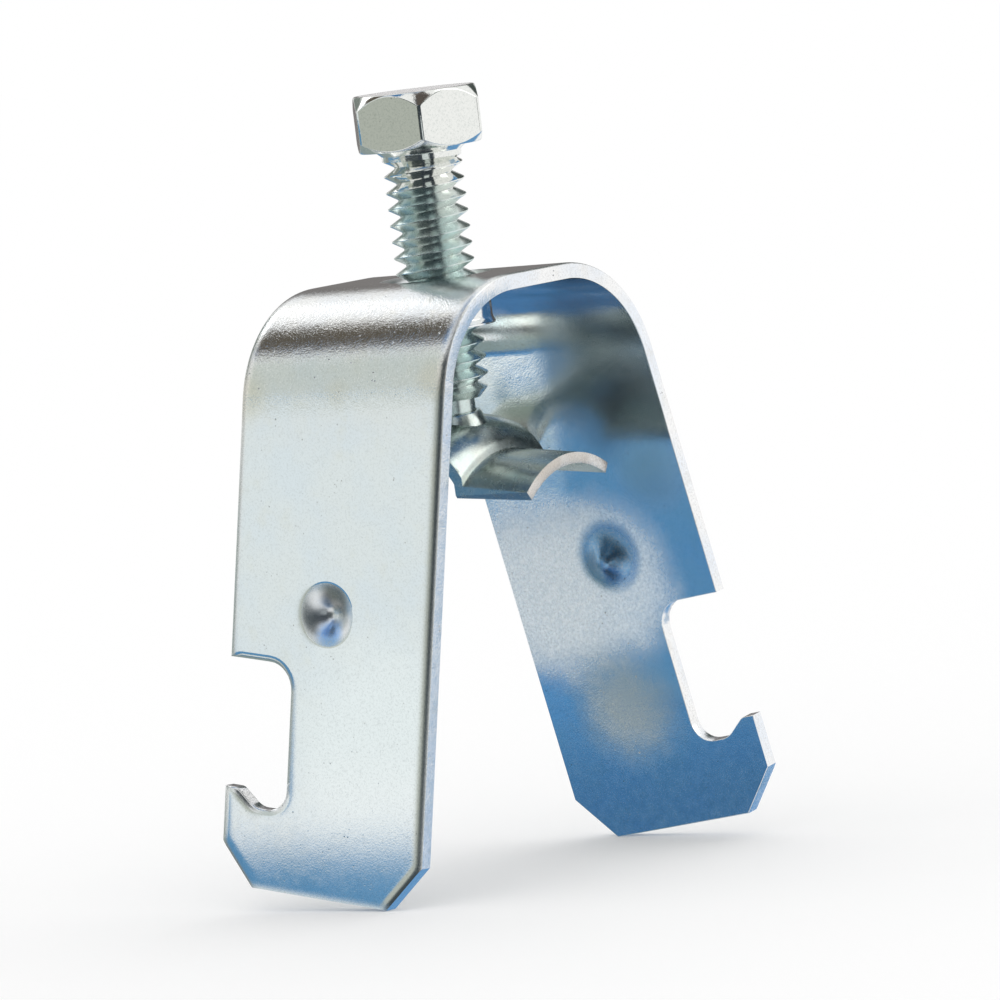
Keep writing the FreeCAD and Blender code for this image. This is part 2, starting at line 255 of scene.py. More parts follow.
# %% [markdown]
# ## Helpers for shaders
# A shader is a tree of nodes. Each helper adds a node or two and gives back the output to go on from.

# %% Helpers for shaders
def shader_node(tree, kind, inputs=None, **settings):
    """Adds a node, with its settings and its inputs as values or as links."""
    made = tree.nodes.new(kind)
    for name, value in settings.items():
        setattr(made, name, value)
    for socket, value in (inputs or {}).items():
        if isinstance(value, bpy.types.NodeSocket):
            tree.links.new(value, made.inputs[socket])
        else:
            made.inputs[socket].default_value = value
    return made


def noise(tree, where, grain, detail=2.0, roughness=0.5):
    """Noise whose blobs are about this many millimetres across."""
    return shader_node(tree, "ShaderNodeTexNoise", {
        "Vector": where, "Scale": 1 / (grain * MM), "Detail": detail, "Roughness": roughness,
    }).outputs["Fac"]


def remap(tree, value, low, high, start=0.0, end=1.0, easing="LINEAR"):
    """Spreads a stretch of values over another stretch, and holds both ends."""
    return shader_node(tree, "ShaderNodeMapRange", {
        "Value": value, "From Min": low, "From Max": high, "To Min": start, "To Max": end,
    }, interpolation_type=easing).outputs["Result"]


def math_node(tree, operation, *values):
    """One step of arithmetic on values or on other nodes' outputs."""
    return shader_node(tree, "ShaderNodeMath", dict(enumerate(values)), operation=operation).outputs[0]


def vector_node(tree, operation, *values):
    """One step of arithmetic on vectors. A distance or a length comes out as a number."""
    made = shader_node(tree, "ShaderNodeVectorMath", dict(enumerate(values)), operation=operation)
    return made.outputs["Value" if operation in ("DISTANCE", "LENGTH") else "Vector"]


def tinted(tree, amount, first, second):
    """Goes from one colour to another. Each is (red, green, blue) or another node's output."""
    first, second = ((*colour, 1) if isinstance(colour, tuple) else colour for colour in (first, second))
    return shader_node(tree, "ShaderNodeMix", {0: amount, 6: first, 7: second},
                       data_type="RGBA").outputs[2]


# %% [markdown]
# ## Finishes
# All three pieces are bright zinc plate, a metal with no colour of its own but a faint cool tint.
# Fine grain makes each facet mirror a slightly different place, so reflections end in sparkling dust.
# The grain is bump from noise, and it grows coarser where the sheet was stretched in the folds.
# Pits and specks are small and dark. Spots are the places that the photograph shows tinted, dull or frosted.
# Some of their tints are painted reflections and painted shade, and the strap's face takes painted shade near
# its rims.

# %% Zinc plate
CLOUD_SIZE = 4.5                   # wide clouds of the cool tint, in millimetres like the sizes below
PATCH_SIZE = 1.6                   # smaller patches of the warm tint
DULL_SIZE = 0.9                    # places that are rougher than others
RAGGED_SIZE = 2.6                  # tongues in the border of a spot
FROST_SIZE = 0.24                  # crystals of a frosted spot
SPECK_SIZE = 0.17
PIT_SPACING = 0.5
PIT_FIELD_SIZE = 1.3               # areas that have pits
PEEL_SIZE = 0.9                    # slow waves under the grain
PEEL_SHARE = 0.8                   # their height, in heights of the grain
PIT_DEPTH = 2.0                    # in heights of the grain
PIT_COLOUR = (0.30, 0.28, 0.26)
SPECK_SHARE = 0.72                 # how bright a speck is beside the plate
FOLD_STARTS = (18.4 * MM, 21.0 * MM)
LEAN_SHARE = (0.8, 0.8, 0.0)       # rims lean over sideways, not up or down
RIM_SHARE = (1.0, 1.0, 0.5)        # and their painted shade is darkest there
# painted shade that darkens the face towards a rim, and a painted dark line right at the rim
RIM_PAINTED_SHADE = (0.46, 0.48, 0.48)
RIM_PAINTED_DARK_LINE = (0.10, 0.10, 0.10)
RIM_RAYS = 8


def spotted(tree, where, spots, shade, dull, reach):
    """Lays spots over a coat's colour, roughness and height of grain, and says how matte it gets."""
    ragged = noise(tree, where, RAGGED_SIZE, detail=4.0, roughness=0.6)
    matte = 0.0
    for centre, core, fringe, roughness, grain, tint, spot_matte in spots:
        away = vector_node(tree, "DISTANCE", where, Vector(centre) * MM)
        away = math_node(tree, "MULTIPLY_ADD", ragged, (fringe - core) / 2 * MM, away)
        middle = (fringe - core) / 4
        amount = remap(tree, away, (core + middle) * MM, (fringe + middle) * MM, 1.0, 0.0, "SMOOTHSTEP")
        shade = tinted(tree, amount, shade, tint)
        rougher = math_node(tree, "SUBTRACT", roughness, dull)
        dull = math_node(tree, "MULTIPLY_ADD", rougher, amount, dull)
        reach = math_node(tree, "MULTIPLY_ADD", amount, grain * MM, reach)
        more_matte = math_node(tree, "SUBTRACT", spot_matte, matte)
        matte = math_node(tree, "MULTIPLY_ADD", more_matte, amount, matte)
    return shade, dull, reach, matte


def leaning(tree, rounded, shade):
    """Near an edge, paints shade on the coat and leans its surface over: gives the colour and the direction.
    """
    flat = shader_node(tree, "ShaderNodeNewGeometry").outputs["Normal"]
    over = shader_node(tree, "ShaderNodeBevel", {"Radius": rounded * MM}, samples=RIM_RAYS).outputs["Normal"]
    lean = vector_node(tree, "SUBTRACT", over, flat)
    rim = vector_node(tree, "LENGTH", vector_node(tree, "MULTIPLY", lean, RIM_SHARE))
    shade = tinted(tree, remap(tree, rim, 0.05, 0.65, 0.0, 0.26), shade, RIM_PAINTED_SHADE)
    shade = tinted(tree, remap(tree, rim, 0.62, 0.80, 0.0, 0.35), shade, RIM_PAINTED_DARK_LINE)
    lean = vector_node(tree, "MULTIPLY_ADD", lean, LEAN_SHARE, flat)
    return shade, vector_node(tree, "NORMALIZE", lean)


def zinc(name, colour, warm, cool, grain, grain_height, gloss, wear, fold_grain=1.0, rounded=0.0, spots=()):
    """Zinc plate. gloss is (lowest, highest) roughness, and wear is how much pitting shows.

    fold_grain is how many times coarser the grain is where the sheet was stretched in the folds.
    rounded is how far from an edge, in millimetres, the surface starts to lean over and to darken with
    painted shade.
    Each spot is a centre, the reach of its core and of its fringe in millimetres, a roughness, the height
    of its grain, a tint, and how matte it is: matte zinc is frosted, so it is lit as white paper is.
    Some tints are painted reflections and painted shade.
    """
    material = bpy.data.materials.new(name)
    material.use_nodes = True
    tree = material.node_tree
    surface = tree.nodes["Principled BSDF"]
    where = shader_node(tree, "ShaderNodeTexCoord").outputs["Object"]

    cloud = noise(tree, where, CLOUD_SIZE, detail=3.0)
    patch = noise(tree, where, PATCH_SIZE, detail=3.0, roughness=0.6)
    shade = tinted(tree, remap(tree, cloud, 0.42, 0.62), colour, cool)
    shade = tinted(tree, remap(tree, patch, 0.55, 0.78, 0.0, 0.6), shade, warm)
    dull = remap(tree, noise(tree, where, DULL_SIZE, detail=4.0, roughness=0.7), 0.35, 0.7, *gloss)
    level = shader_node(tree, "ShaderNodeSeparateXYZ", {"Vector": where}).outputs["Z"]
    reach = remap(tree, level, *FOLD_STARTS, grain_height * MM, fold_grain * grain_height * MM)
    surface.inputs["Metallic"].default_value = 1.0
    if spots:
        shade, dull, reach, matte = spotted(tree, where, spots, shade, dull, reach)
    if any(spot[-1] for spot in spots):
        crystals = noise(tree, where, FROST_SIZE, detail=4.0, roughness=0.75)
        frost = remap(tree, crystals, 0.38, 0.62, -0.55, -1.1)
        tree.links.new(math_node(tree, "MULTIPLY_ADD", matte, frost, 1.0), surface.inputs["Metallic"])

    specks = noise(tree, where, SPECK_SIZE, detail=4.0, roughness=0.8)
    speck_colour = tuple(SPECK_SHARE * value for value in colour)
    shade = tinted(tree, remap(tree, specks, 0.48, 0.74, 0.0, 0.75), shade, speck_colour)
    to_pit = shader_node(tree, "ShaderNodeTexVoronoi", {"Vector": where, "Scale": 1 / (PIT_SPACING * MM)},
                         feature="F1").outputs["Distance"]
    pit_here = remap(tree, noise(tree, where, PIT_FIELD_SIZE), 0.56, 0.66)
    pit = math_node(tree, "MULTIPLY", remap(tree, to_pit, 0.06, 0.17, wear, 0.0), pit_here)
    shade = tinted(tree, pit, shade, PIT_COLOUR)

    fine = noise(tree, where, grain, detail=2.0, roughness=0.6)
    peel = noise(tree, where, PEEL_SIZE, detail=1.0)
    height = math_node(tree, "MULTIPLY_ADD", peel, PEEL_SHARE, fine)
    height = math_node(tree, "MULTIPLY_ADD", pit, -PIT_DEPTH, height)
    bump = shader_node(tree, "ShaderNodeBump", {"Height": height, "Strength": 1.0, "Distance": reach})
    if rounded:
        shade, direction = leaning(tree, rounded, shade)
        tree.links.new(direction, bump.inputs["Normal"])
    tree.links.new(shade, surface.inputs["Base Color"])
    tree.links.new(dull, surface.inputs["Roughness"])
    tree.links.new(bump.outputs["Normal"], surface.inputs["Normal"])
    return material


# %% Coats of the strap
FROSTED = (0.87, 0.94, 0.97)
strap_face = zinc(
    "strap_zinc_face", (0.89, 0.90, 0.89), (0.85, 0.84, 0.78), (0.86, 0.89, 0.91),
    grain=0.14, grain_height=0.0004, gloss=(0.02, 0.05), wear=0.8, fold_grain=45.0, rounded=1.3,
    spots=[  # centre, core, fringe, roughness, grain, tint, matte
        ((-13.2, 0, -8.0), 5.0, 13.0, 0.04, 0.0, (0.99, 1.0, 0.99), 0.0),           # brighter lower leg
        ((-11.3, 11.4, 20.4), 0.5, 3.0, 0.12, 0.001, (0.87, 0.84, 0.75), 0.0),      # warm spots at the fold
        ((-11.3, -6.5, 20.9), 0.3, 2.2, 0.12, 0.001, (0.86, 0.83, 0.76), 0.0),
        ((-11.2, 2.5, 20.2), 0.3, 1.6, 0.10, 0.001, (0.87, 0.86, 0.81), 0.0)])
strap_inside = zinc(
    "strap_zinc_inside", (0.91, 0.92, 0.91), (0.85, 0.85, 0.80), (0.86, 0.90, 0.93),
    grain=0.14, grain_height=0.0008, gloss=(0.06, 0.10), wear=0.8, fold_grain=5.0,
    spots=[
        ((10.2, -7.8, 18.6), 4.6, 8.6, 0.20, 0.008, (0.44, 0.50, 0.54), 0.0),       # painted reflection and shade: dark slate near the fold, and grey-green in the next spot
        ((10.4, 0.9, 16.9), 1.4, 3.0, 0.08, 0.004, (0.54, 0.59, 0.56), 0.0),
        ((10.2, 0.4, 19.5), 0.8, 3.6, 0.08, 0.002, (0.93, 0.95, 0.95), 0.0),        # pale, under the fold
        ((9.4, 1.0, 22.7), 0.9, 2.4, 0.10, 0.0, FROSTED, 0.3),
        ((11.9, -4.2, 1.6), 3.4, 8.4, 0.14, 0.020, FROSTED, 0.72),                  # frost round the bump
        ((11.9, 1.6, 1.2), 3.0, 9.4, 0.14, 0.020, FROSTED, 0.92),
        ((12.7, -4.4, -8.6), 1.0, 6.4, 0.18, 0.010, (0.80, 0.77, 0.68), 0.18),      # tan, below the frost
        ((10.95, -5.1, 3.6), 2.2, 3.4, 0.28, 0.0, (0.22, 0.42, 0.64), 0.0),         # painted reflection: blue on the right bump
        ((11.0, -10.9, 10.3), 2.0, 5.0, 0.16, 0.0, (0.88, 0.91, 0.92), 0.0),        # softens a mirrored bump
        ((-11.0, 5.4, 3.4), 2.4, 3.6, 0.60, 0.0, (0.22, 0.52, 0.74), 0.0)])         # painted reflection: blue on the left bump
strap_rim = zinc(
    "strap_zinc_sheared", (0.93, 0.93, 0.925), (0.74, 0.73, 0.69), (0.84, 0.88, 0.93),
    grain=0.16, grain_height=0.018, gloss=(0.14, 0.28), wear=0.9)
strap_dimple = zinc(
    "strap_zinc_punched", (0.82, 0.84, 0.84), (0.76, 0.76, 0.72), (0.78, 0.82, 0.84),
    grain=0.2, grain_height=0.003, gloss=(0.28, 0.33), wear=0.3,
    spots=[
        ((2.5, -3.5, 27.5), 2.0, 4.0, 0.30, 0.0, (0.40, 0.46, 0.43), 0.0),          # painted reflection of the screw: dark in the dish
        ((-12.4, 4.2, 4.6), 0.7, 1.9, 0.34, 0.0, (0.38, 0.37, 0.35), 0.0),          # painted reflections in the left dimple: dark here, blue in the next spot
        ((-12.7, 4.9, 1.9), 0.6, 1.6, 0.30, 0.0, (0.34, 0.56, 0.90), 0.0)])
print("coats of the strap", [coat.name for coat in (strap_face, strap_inside, strap_rim, strap_dimple)])

# %% Coats of the screw and the saddle
bolt_face = zinc(
    "bolt_zinc_bright", (0.71, 0.77, 0.74), (0.62, 0.66, 0.58), (0.60, 0.73, 0.72),
    grain=0.18, grain_height=0.005, gloss=(0.22, 0.30), wear=0.6,
    spots=[
        ((0, 0, 40.0), 5.8, 6.4, 0.08, 0.0, (0.86, 0.87, 0.84), 0.0),               # all round the head
        ((0, 0, 42.3), 4.3, 4.5, 0.40, 0.0, (0.96, 0.94, 0.94), 0.9)])              # frost on its top
saddle_face = zinc(
    "saddle_zinc_glossy", (0.60, 0.64, 0.60), (0.54, 0.53, 0.46), (0.50, 0.58, 0.57),
    grain=0.22, grain_height=0.004, gloss=(0.20, 0.30), wear=0.5)
saddle_end = zinc(
    "saddle_zinc_cut", (0.60, 0.56, 0.51), (0.40, 0.35, 0.31), (0.72, 0.71, 0.69),
    grain=0.22, grain_height=0.012, gloss=(0.20, 0.34), wear=0.5)
print("other coats", [coat.name for coat in (bolt_face, saddle_face, saddle_end)])

# %% [markdown]
# ## Strap: the flat blank
# On the real clamp a press cuts a flat strip, rounds its upper rim and then folds it, and so do we.
# A bevel is as wide as it is deep, but a sheared rim rolls over wide and shallow.
# So the blank starts several times too thick, gets its bevel, and is then flattened to the sheet.

# %% Sizes of the strap
STRIP_WIDTH = 19.05                # all sizes from here on are in millimetres and degrees
SHEET = 1.25
WEB_HALF = 3.1                     # from the screw's axis to where each fold starts
BEND_RADIUS = 8.3                  # outside of the fold
SPLAY = 5.3                        # lean of each leg
SKEW = 8.15                        # angle of the strip to the X axis on the web, which fans the legs out
LEG_LENGTH = 39.2                  # along a leg's middle line, from the fold's end to the tip
SHOULDER_HEIGHT = 17.8             # heights are above the tip, and widths from the leg's middle line
SHOULDER_CORNER = 2.1
NOTCH_EDGE = 3.6
VALLEY_HEIGHT = 6.25
VALLEY_CORNER = 1.7
VALLEY_END = 6.6                   # where the notch's floor turns up to the hook
VALLEY_BEND = 1.6
HOOK_HEIGHT = 7.65
HOOK_TOP_START = 8.4
HOOK_ROUNDING = 0.75
TIP_CHAMFER_HOOK = (3.1, 3.4)      # width and height
TIP_CHAMFER_PLAIN = (3.05, 3.6)
RIM_ROLL = 0.55                    # how far the rolled rim reaches into the outer face
RIM_DEPTH = 0.14                   # how far it falls there
INNER_RIM = 0.07

half_width = STRIP_WIDTH / 2
bend_turn = math.radians(90 - SPLAY)
bend_run = (BEND_RADIUS - SHEET / 2) * bend_turn
tip = (WEB_HALF + bend_run) / math.cos(math.radians(SKEW)) + LEG_LENGTH
extra = RIM_ROLL / RIM_DEPTH       # how many times too thick the blank starts
print("flat strip", round(2 * tip, 2), "mm long")

# %% Cut the blank
NOTCH_SPARE = 2.0                  # how far the notch's cutter stands out past the strip
NOTCH_TOUCH = 0.01 * MM


def block(low, high):
    """A block between two corners, in millimetres."""
    middle = [(a + b) / 2 * MM for a, b in zip(low, high)]
    sides = [(b - a) * MM for a, b in zip(low, high)]
    bpy.ops.object.select_all(action="DESELECT")
    bpy.ops.mesh.primitive_cube_add(size=1, location=middle, scale=sides)
    made = bpy.context.object
    settle(made)
    return made


def notch_cutter():
    """The prism that cuts the left leg's notch: a block whose floor steps up to the hook."""
    low, high = VALLEY_HEIGHT - tip, SHOULDER_HEIGHT - tip
    near, far = NOTCH_EDGE, half_width + NOTCH_SPARE
    cutter = block((low, near, -1.5 * extra * SHEET), (high, far, 0.5 * extra * SHEET))
    edit(cutter)
    for across in (VALLEY_END, HOOK_TOP_START):
        cut((0, across * MM, 0), (0, 1, 0))
    pick(cutter, "VERT", lambda v: v.x < low * MM + NOTCH_TOUCH and v.y > HOOK_TOP_START * MM - NOTCH_TOUCH)
    bpy.ops.transform.translate(value=((HOOK_HEIGHT - VALLEY_HEIGHT) * MM, 0, 0))
    slope = math.atan2(HOOK_HEIGHT - VALLEY_HEIGHT, HOOK_TOP_START - VALLEY_END)
    corners = ((high, near, SHOULDER_CORNER, math.pi / 2), (low, near, VALLEY_CORNER, math.pi / 2),
               (low, VALLEY_END, VALLEY_BEND, slope),
               (HOOK_HEIGHT - tip, HOOK_TOP_START, HOOK_ROUNDING, slope))
    for along, across, radius, turn in corners:
        spot = Vector((along, across)) * MM

        def upright(a, b):
            return (a.xy - spot).length < NOTCH_TOUCH and (b.xy - spot).length < NOTCH_TOUCH
        pick(cutter, "EDGE", upright)
        bpy.ops.mesh.bevel(offset=radius * math.tan(turn / 2) * MM, segments=4 + round(8 * turn / math.pi),
                           affect="EDGES")
    leave()
    return cutter


strap = block((-tip, -half_width, -extra * SHEET), (tip, half_width, 0))
strap.name = "folded_strap"
edit(strap)
for end in (-1, 1):
    for side, (width, height) in ((1, TIP_CHAMFER_HOOK), (-1, TIP_CHAMFER_PLAIN)):
        corner = Vector((end * tip, -end * side * (half_width - width), 0)) * MM
        cut(corner, (end * width, -end * side * height, 0), clear=True, fill=True)
leave()
combine(strap, notch_cutter(), "DIFFERENCE")
other = notch_cutter()
other.rotation_euler.z = math.pi
settle(other)
combine(strap, other, "DIFFERENCE")
print("blank has", len(strap.data.polygons), "faces")

# %% Roll the rim and flatten the blank
TOUCH = 0.005 * MM
FOOT_MARGIN = 0.1                  # the chamfered feet keep their sharp edges, up to this far above
UPRIGHT = 0.15                     # faces whose normals rise less than this are the sheared rim

edit(strap)
foot = (tip - TIP_CHAMFER_PLAIN[1] - FOOT_MARGIN) * MM
pick(strap, "EDGE", lambda a, b: abs(a.z) < TOUCH and abs(b.z) < TOUCH and abs(a.x + b.x) / 2 < foot)
bpy.ops.mesh.bevel(offset=RIM_ROLL * MM, segments=9, affect="EDGES", clamp_overlap=False)
bpy.ops.mesh.select_all(action="SELECT")
bpy.ops.transform.resize(value=(1, 1, 1 / extra), center_override=(0, 0, 0))
low = -SHEET * MM
pick(strap, "EDGE", lambda a, b: abs(a.z - low) < TOUCH and abs(b.z - low) < TOUCH)
bpy.ops.mesh.bevel(offset=INNER_RIM * MM, segments=2, affect="EDGES")
leave()
strap.data.materials.clear()
for material in (strap_face, strap_rim, strap_inside, strap_dimple):
    strap.data.materials.append(material)
for face in strap.data.polygons:
    if abs(face.normal.z) < UPRIGHT:
        face.material_index = 1
    elif face.normal.z < 0:
        face.material_index = 2
print("rolled blank has", len(strap.data.polygons), "faces")

# %% [markdown]
# ## Strap: the dimples
# A punch sinks a cone into the outer face and raises a bump on the inner one.
# Both are turned solids: the hollow is cut out and the bump is joined on.
# Their flanks flare like a trumpet and end in a small ball, as the mirrored lines in the photograph show.
# A narrow bevel on the hollow's rim gives the thin bright line that it has in the photograph.

# %% Punch the dimples
DIMPLE_PLACE = (0.45, 22.05)       # from the leg's middle line, above its tip
DIMPLE_RIM = 2.5
DIMPLE_DEPTH = 1.15
DIMPLE_SLOPE = 0.14                # of the hollow's flank at its rim
DIMPLE_EDGE = 0.12
BUMP_FOOT = 2.9
BUMP_HEIGHT = 1.15
POINT_REACH = 0.74                 # where the punched cone ends in a ball
FLANK_PARTS = 8
BALL_PARTS = 6
SOLVER_ROUNDS = 30


def punched(reach, depth, first_slope):
    """Profile of a punched cone from its foot to its tip: its slope grows until it meets a ball."""
    run = reach - POINT_REACH

    def shape(curve):
        last_slope = first_slope + 2 * curve / run
        tilt = math.atan(last_slope)
        ball = POINT_REACH / math.sin(tilt)
        return tilt, ball, first_slope * run + curve + ball * (1 - math.cos(tilt))
    curve = depth
    for _ in range(SOLVER_ROUNDS):
        curve -= shape(curve)[2] - depth
    tilt, ball, _ = shape(curve)
    shares = [part / FLANK_PARTS for part in range(FLANK_PARTS)]
    flank = [(reach - run * share, first_slope * run * share + curve * share ** 2) for share in shares]
    tilt = math.degrees(tilt)
    return flank + arc((0, depth - ball), ball, 90 - tilt, 90, BALL_PARTS)


hollow = [(0, SHEET), (DIMPLE_RIM, SHEET)]
hollow += [(radius, -deep) for radius, deep in punched(DIMPLE_RIM, DIMPLE_DEPTH, DIMPLE_SLOPE)]
bump = [(0, -SHEET / 2), (BUMP_FOOT, -SHEET / 2)]
bump += [(radius, -SHEET - high) for radius, high in punched(BUMP_FOOT, BUMP_HEIGHT, 0.0)]

for side in (-1, 1):
    spot = (side * (tip - DIMPLE_PLACE[1]) * MM, -side * DIMPLE_PLACE[0] * MM)
    combine(strap, turned("bump", bump, centre=spot, steps=48), "UNION", finish=2)
    combine(strap, turned("hollow", hollow, centre=spot, steps=64), "DIFFERENCE", finish=3)
    edit(strap)
    middle = Vector(spot)

    def on_rim(a, b):
        reach = DIMPLE_RIM * MM
        flat = abs(a.z) < TOUCH and abs(b.z) < TOUCH
        return flat and all(abs((v.xy - middle).length - reach) < 10 * TOUCH for v in (a, b))
    pick(strap, "EDGE", on_rim)
    bpy.ops.mesh.bevel(offset=DIMPLE_EDGE * MM, segments=3, affect="EDGES")
    leave()
print("dimpled blank has", len(strap.data.polygons), "faces")

# %% [markdown]
# ## Strap: the folds
# The strip lies askew to the fold lines, which is why the legs fan out sideways on the real clamp.
# Straight cuts across the bends give the sheet lines to fold at.
# A Simple Deform modifier bends only between its limits and carries the leg round as it is.

# %% Fold the blank
FOLD_LINES = 28

strap.rotation_euler.z = -math.radians(SKEW)
settle(strap)
edit(strap)
for side in (-1, 1):
    for line in range(FOLD_LINES + 1):
        cut((side * (WEB_HALF + bend_run * line / FOLD_LINES) * MM, 0, 0), (1, 0, 0))
leave()
for side in (-1, 1):
    bpy.ops.object.empty_add()
    hinge = bpy.context.object
    across, along = Vector((0, side, 0)), Vector((side, 0, 0))
    turn = Matrix((Vector((0, 0, -1)), across, along)).transposed().to_4x4()
    hinge.matrix_world = Matrix.Translation((side * WEB_HALF * MM, 0, -SHEET / 2 * MM)) @ turn
    reach = [side * vertex.co.x - WEB_HALF * MM for vertex in strap.data.vertices]
    spread = max(reach) - min(reach)
    only(strap)
    fold = strap.modifiers.new("Fold", "SIMPLE_DEFORM")
    fold.deform_method = "BEND"
    fold.deform_axis = "Y"
    fold.origin = hinge
    fold.angle = bend_turn
    fold.limits = (-min(reach) / spread, (bend_run * MM - min(reach)) / spread)
    bpy.ops.object.modifier_apply(modifier=fold.name)
    bpy.data.objects.remove(hinge)
strap.location.z = web_top
settle(strap)
print("folded strap", [round(side / MM, 2) for side in strap.dimensions])

# %% [markdown]
# ## Strap: the collar
# The hole for the screw is drawn downwards, which leaves a collar below and a rounded dish on top.
# The collar is a turned boss joined to the web, and the dish and bore are one turned cutter.

# %% Draw the collar
COLLAR_RADIUS = 4.0
COLLAR_DROP = 4.05
COLLAR_FOOT = 0.9
COLLAR_FLARE = 0.2
COLLAR_RIM = ((0, 3), (1 / 3, 1.6), (1, 0.6), (0.9, 0))    # outwards and upwards, in flares
ENTRY_RADIUS = 1.25
BORE_RADIUS = 3.19
BORE_CHAMFER = 0.25
BORE_EXIT = 0.3                    # how much wider than the bore its cutter is below the collar

foot_arc = arc((COLLAR_RADIUS + COLLAR_FOOT, -SHEET - COLLAR_FOOT), COLLAR_FOOT, 90, 180, 8)
boss = [(0, -SHEET / 2), (COLLAR_RADIUS + COLLAR_FOOT, -SHEET / 2)] + foot_arc
boss += [(COLLAR_RADIUS + out * COLLAR_FLARE, -COLLAR_DROP + rise * COLLAR_FLARE) for out, rise in COLLAR_RIM]
boss += [(0, -COLLAR_DROP)]
entry = arc((BORE_RADIUS + ENTRY_RADIUS, -ENTRY_RADIUS), ENTRY_RADIUS, 90, 180, 10)
bore = [(0, ENTRY_RADIUS), (BORE_RADIUS + ENTRY_RADIUS, ENTRY_RADIUS)] + entry
bore += [(BORE_RADIUS, -COLLAR_DROP + BORE_CHAMFER), (BORE_RADIUS + BORE_CHAMFER, -COLLAR_DROP),
         (BORE_RADIUS + BORE_EXIT, -COLLAR_DROP - SHEET), (0, -COLLAR_DROP - SHEET)]
combine(strap, turned("boss", boss, level=web_top), "UNION", finish=2)
combine(strap, turned("bore", bore, level=web_top), "DIFFERENCE", finish=3)
smooth(strap, 32)
finished(strap, "strap", "strap")

# %% [markdown]
# ## Screw
# The thread is one pitch of its outline carried round and up by a Screw modifier.
# It is cut off flat at both ends, and a turned envelope then tapers its lead.
# The head is a six-sided cylinder whose ends are chamfered by a second turned envelope.

# %% Sizes of the screw
PITCH = 1.27
CREST_RADIUS = 3.1
ROOT_RADIUS = 2.22
CREST_FLAT = 0.15
THREAD_ANGLE = 30                  # slope of each flank to the radius
THREAD_ROUNDING = 0.035            # of its crests and roots
THREAD_STEPS = 72                  # in each turn
CREST_LEVEL = 6.12                 # height over the web of a crest, in the direction below
CREST_DIRECTION = 305.1
HEAD_FLATS = 9.525
HEAD_HEIGHT = 4.45
HEAD_GAP = 10.05                   # from the web to the head, as shown
HEAD_TURN = 38.3
HEAD_TOP_DROP = 1.15               # how far the corners are cut down by the top chamfer
HEAD_BASE_DROP = 0.8
HEAD_FACE_INSET = 0.08
HEAD_CORNER = 0.22
HEAD_SOFTNESS = 0.09
CONE_OUT = 0.5                     # cone between the head and the shank
CONE_DROP = 0.42
FADE_START = (0.03, 0.85)          # where the thread fades out: inside its crests, below the head
FADE_END = (0.3, 1.45)             # and inside its roots, below the head
THREAD_END = 9.7
THREAD_LEAD = 0.9
LEAD_ANGLE = 42
ENVELOPE_ROOM = 0.2                # between the thread and its envelope
NECK_RADIUS = 1.8
NECK_ROOT = 0.6                    # how far the neck reaches up into the threaded part
STAKE_RADIUS = 2.5
STAKE_THICKNESS = 0.6
STAKE_NECK_LEVEL = 12.15
STAKE_RIM_LEVEL = 12.75

# %% Wind the thread
flank_rise = (CREST_RADIUS - ROOT_RADIUS) * math.tan(math.radians(THREAD_ANGLE))
half_crest = CREST_FLAT / 2
turns_below = math.ceil((THREAD_END + 2 * PITCH + CREST_LEVEL) / PITCH)
start = CREST_LEVEL - PITCH * CREST_DIRECTION / 360 - turns_below * PITCH
turns = math.ceil((HEAD_GAP - start) / PITCH) + 1
under_crest, over_root = CREST_RADIUS - THREAD_ROUNDING, ROOT_RADIUS + THREAD_ROUNDING
profile = [(under_crest, -half_crest), (CREST_RADIUS, -half_crest / 2), (CREST_RADIUS, half_crest / 2),
           (under_crest, half_crest), (over_root, half_crest + flank_rise - THREAD_ROUNDING),
           (ROOT_RADIUS, PITCH / 2), (over_root, PITCH - half_crest - flank_rise + THREAD_ROUNDING),
           (under_crest, PITCH - half_crest)]
points = [Vector((radius, 0, start + height)) * MM + Vector((0, 0, web_top)) for radius, height in profile]
bolt = drawn("hex_screw", points)
settle(bolt)
wind = bolt.modifiers.new("Thread", "SCREW")
wind.screw_offset = PITCH * MM
wind.iterations = turns
wind.steps = THREAD_STEPS
wind.render_steps = THREAD_STEPS
only(bolt)
bpy.ops.object.modifier_apply(modifier=wind.name)
edit(bolt)
weld(2 * WELD)
cut((0, 0, web_top + (HEAD_GAP + HEAD_HEIGHT / 4) * MM), (0, 0, 1), clear=True, fill=True)
cut((0, 0, web_top - THREAD_END * MM), (0, 0, -1), clear=True, fill=True)
face_out()
leave()
print("thread", turns, "turns,", len(bolt.data.polygons), "faces")

# %% Taper the lead and add the shank
lead_radius = CREST_RADIUS - THREAD_LEAD * math.tan(math.radians(LEAD_ANGLE))
top = HEAD_GAP + HEAD_HEIGHT / 2
wide = CREST_RADIUS + ENVELOPE_ROOM
envelope = [(0, top), (wide, top), (wide, THREAD_LEAD - THREAD_END + ENVELOPE_ROOM),
            (lead_radius, -THREAD_END), (0, -THREAD_END - ENVELOPE_ROOM / 2)]
combine(bolt, turned("envelope", envelope, level=web_top), "INTERSECT")
shank = [(0, top), (CREST_RADIUS + CONE_OUT, top), (CREST_RADIUS + CONE_OUT, HEAD_GAP)]
shank += [(CREST_RADIUS, HEAD_GAP - CONE_DROP), (CREST_RADIUS - FADE_START[0], HEAD_GAP - FADE_START[1]),
          (ROOT_RADIUS - FADE_END[0], HEAD_GAP - FADE_END[1]), (0, HEAD_GAP - FADE_END[1])]
combine(bolt, turned("shank", shank, level=web_top), "UNION")
neck_top = -THREAD_END + NECK_ROOT
